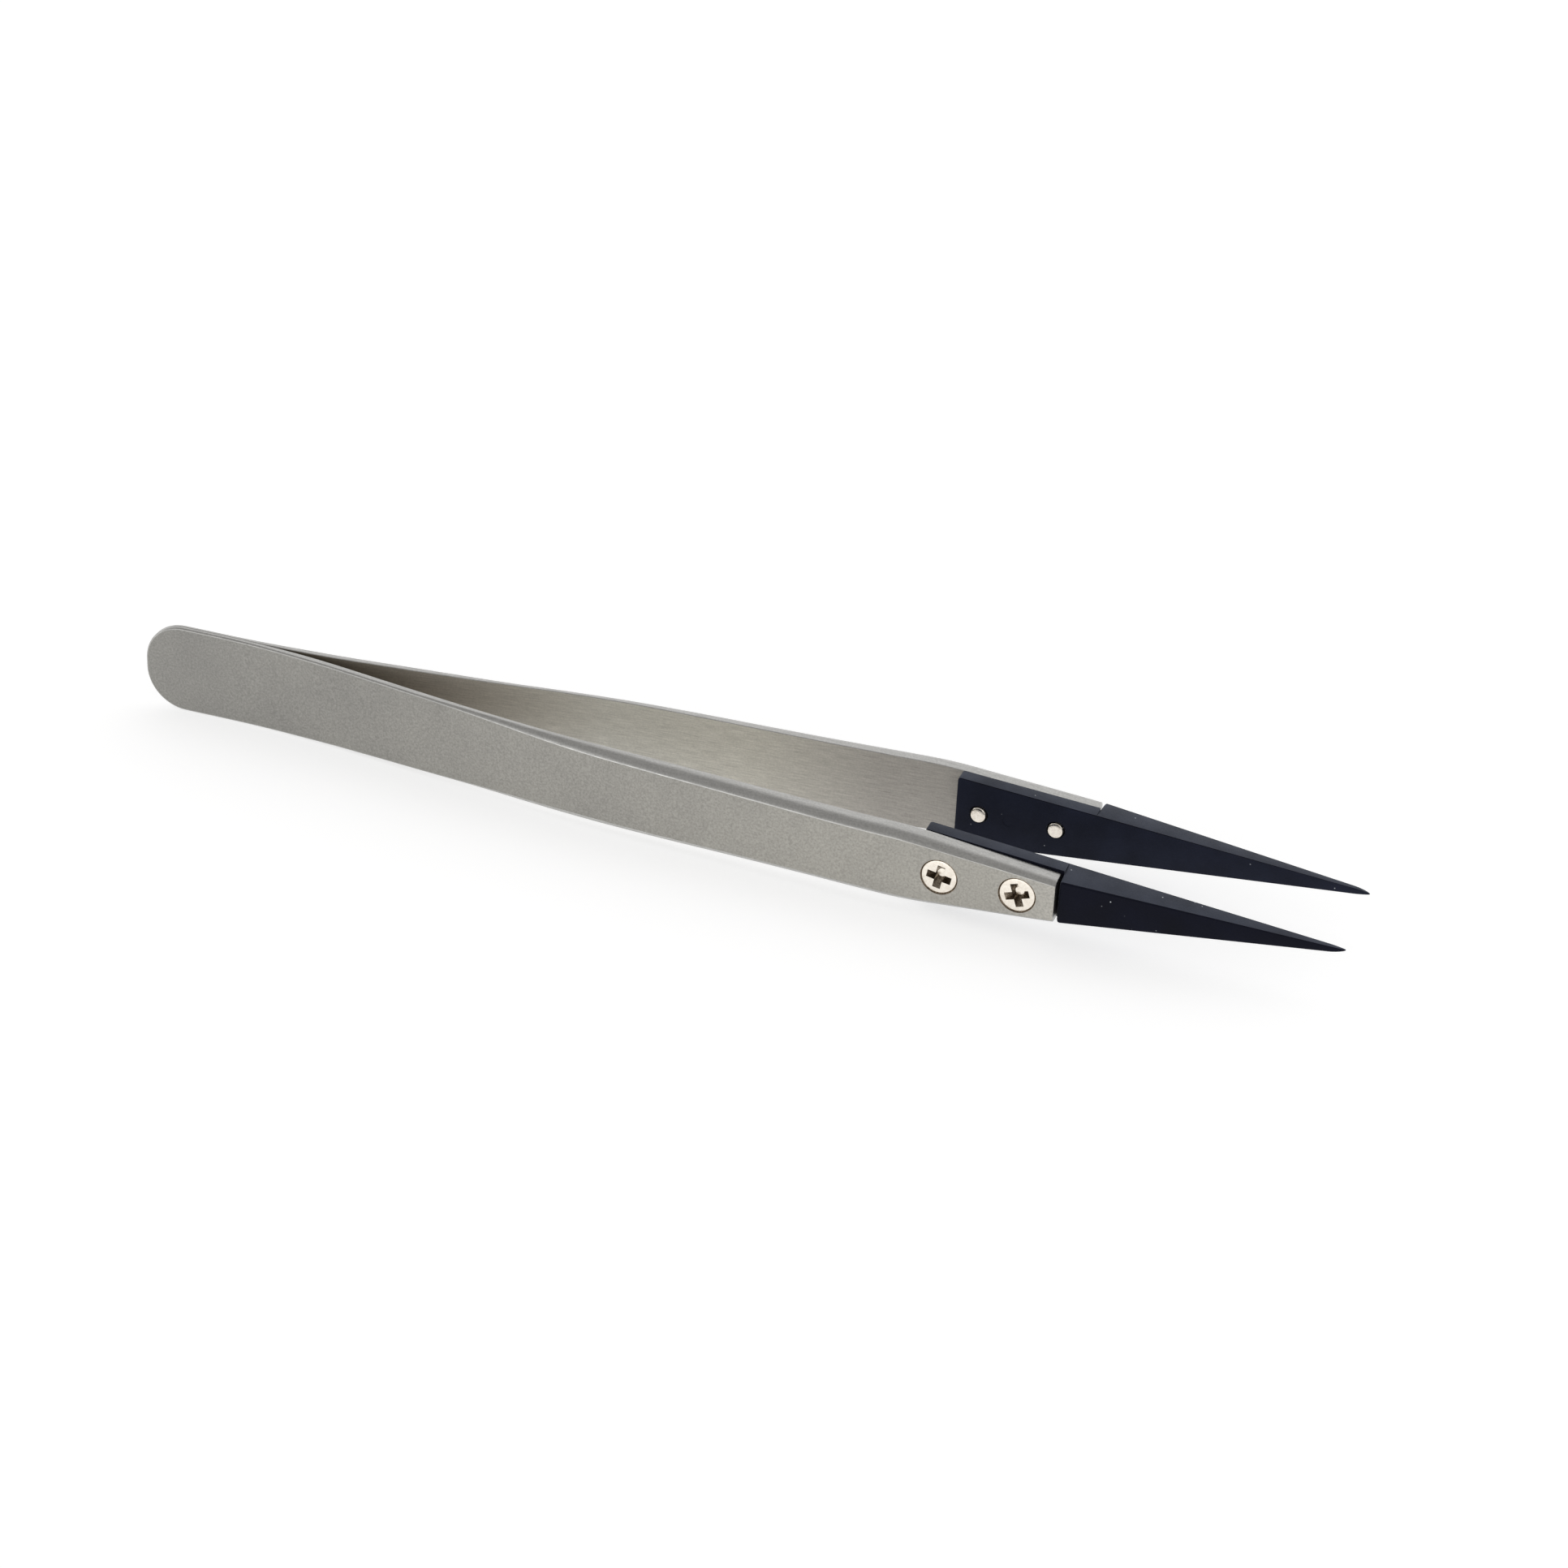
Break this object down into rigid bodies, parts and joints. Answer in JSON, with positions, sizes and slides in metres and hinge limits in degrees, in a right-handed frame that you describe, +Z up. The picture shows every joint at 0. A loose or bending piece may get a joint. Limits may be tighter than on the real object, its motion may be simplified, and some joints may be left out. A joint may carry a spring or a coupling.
{
  "type": "tweezers",
  "caption": "Precision tweezers: two sprung steel arms joined at a rounded heel, each with a replaceable pointed plastic tip held by countersunk screws.",
  "frame": {"origin": "under the middle of the whole object, at the height of its lowest edge", "axes": "+X from the heel to the tip points, +Y to the left seen from the heel, +Z up, across the arms' height"},
  "size_m": [0.13, 0.0174, 0.0098],
  "materials": {
    "steel": "fine bead-blasted stainless steel, matt, with a brushed inner face",
    "plastic": "matt black carbon-filled static-dissipative plastic",
    "screw": "bright nickel-plated steel"
  },
  "bodies": {
    "heel": {"right_arm_heel": "steel", "left_arm_heel": "steel"},
    "right_arm": {"right_arm_blade": "steel", "right_tip": "plastic", "right_rear_screw": "screw", "right_front_screw": "screw"},
    "left_arm": {"left_arm_blade": "steel", "left_tip": "plastic", "left_rear_screw": "screw", "left_front_screw": "screw"}
  },
  "joints": [
    {"name": "right_arm_flex", "type": "hinge", "parent": "heel", "child": "right_arm", "pos_m": [-0.04, -0.00143, 0.0049], "axis": [0, 0, 1], "range_deg": [0, 2.95], "stiffness_Nm_per_rad": 2},
    {"name": "left_arm_flex", "type": "hinge", "parent": "heel", "child": "left_arm", "pos_m": [-0.04, 0.00143, 0.0049], "axis": [0, 0, -1], "range_deg": [0, 2.95], "stiffness_Nm_per_rad": 2}
  ]
}
